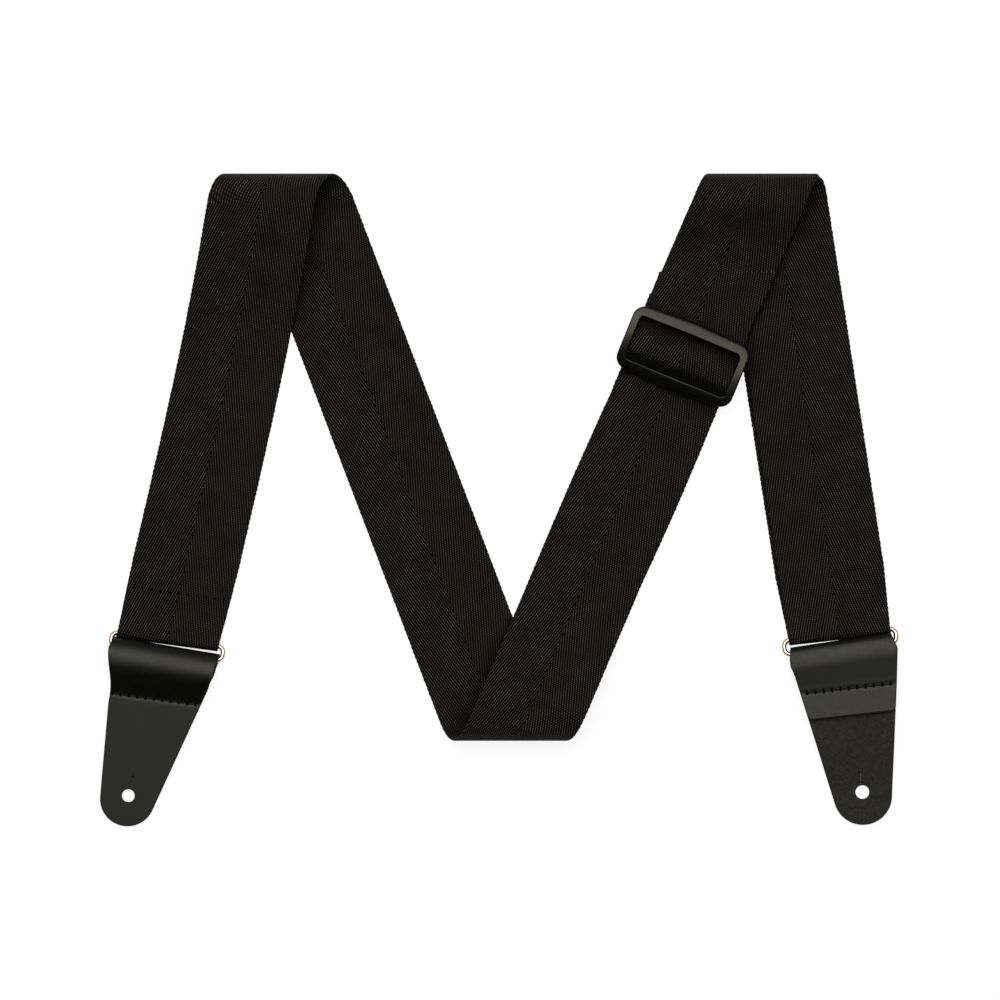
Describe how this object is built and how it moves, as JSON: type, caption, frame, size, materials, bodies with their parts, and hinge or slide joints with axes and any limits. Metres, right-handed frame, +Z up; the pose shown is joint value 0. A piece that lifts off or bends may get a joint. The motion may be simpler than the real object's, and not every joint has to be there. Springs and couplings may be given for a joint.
{
  "type": "guitar strap",
  "caption": "Adjustable webbing guitar strap with a sliding buckle, wire rings and leather button ends, laid flat in an M.",
  "frame": {"origin": "on the table under the centre of the laid-out strap", "axes": "+Z up from the table, +Y away from the leather ends, +X towards the end that the slider is beside"},
  "size_m": [0.3849, 0.3144, 0.0224],
  "materials": {
    "webbing": "black polyester herringbone webbing",
    "leather": "black pigmented leather, suede back",
    "ring_wire": "bright nickel plate",
    "slider": "black satin moulding",
    "thread": "black polyester thread"
  },
  "bodies": {
    "webbing": {"webbing_left_end_loop": "webbing", "webbing_leg_1": "webbing", "webbing_fold_top_left": "webbing", "webbing_leg_2": "webbing", "webbing_fold_bottom": "webbing", "webbing_leg_3_lower": "webbing", "webbing_leg_3_upper": "webbing", "webbing_fold_top_right": "webbing", "webbing_leg_4": "webbing", "webbing_ring_turn": "webbing", "webbing_return_leg_4": "webbing", "webbing_return_fold": "webbing", "webbing_return_leg_3": "webbing", "left_loop_stitching": "thread"},
    "slider": {"slider_frame": "slider", "webbing_over_slider_bar": "webbing", "webbing_slider_loop": "webbing", "slider_loop_stitching": "thread"},
    "left_ring": {"left_ring": "ring_wire"},
    "right_ring": {"right_ring": "ring_wire"},
    "left_end": {"left_leather_end": "leather", "left_end_stitching": "thread"},
    "right_end": {"right_leather_end": "leather", "right_end_stitching": "thread"}
  },
  "joints": [
    {"name": "slider_slide", "type": "slide", "parent": "webbing", "child": "slider", "axis": [0.3944, 0.9186, 0.0244], "range_m": [-0.095, 0.01], "deforming": ["webbing_leg_3_lower", "webbing_leg_3_upper", "webbing_return_leg_3"]},
    {"name": "left_ring_swing", "type": "hinge", "parent": "webbing", "child": "left_ring", "pos_m": [-0.15993, -0.06706, 0.0027], "axis": [-0.991, 0.134, 0], "range_deg": [-75, 90]},
    {"name": "left_end_swing", "type": "hinge", "parent": "left_ring", "child": "left_end", "pos_m": [-0.16087, -0.07394, 0.0046], "axis": [-0.991, 0.134, 0], "range_deg": [-70, 70]},
    {"name": "right_ring_swing", "type": "hinge", "parent": "webbing", "child": "right_ring", "pos_m": [0.16351, -0.06475, 0.0027], "axis": [-0.9938, -0.1115, 0], "range_deg": [-75, 90]},
    {"name": "right_end_swing", "type": "hinge", "parent": "right_ring", "child": "right_end", "pos_m": [0.16429, -0.07165, 0.0046], "axis": [-0.9938, -0.1115, 0], "range_deg": [-70, 70]}
  ]
}
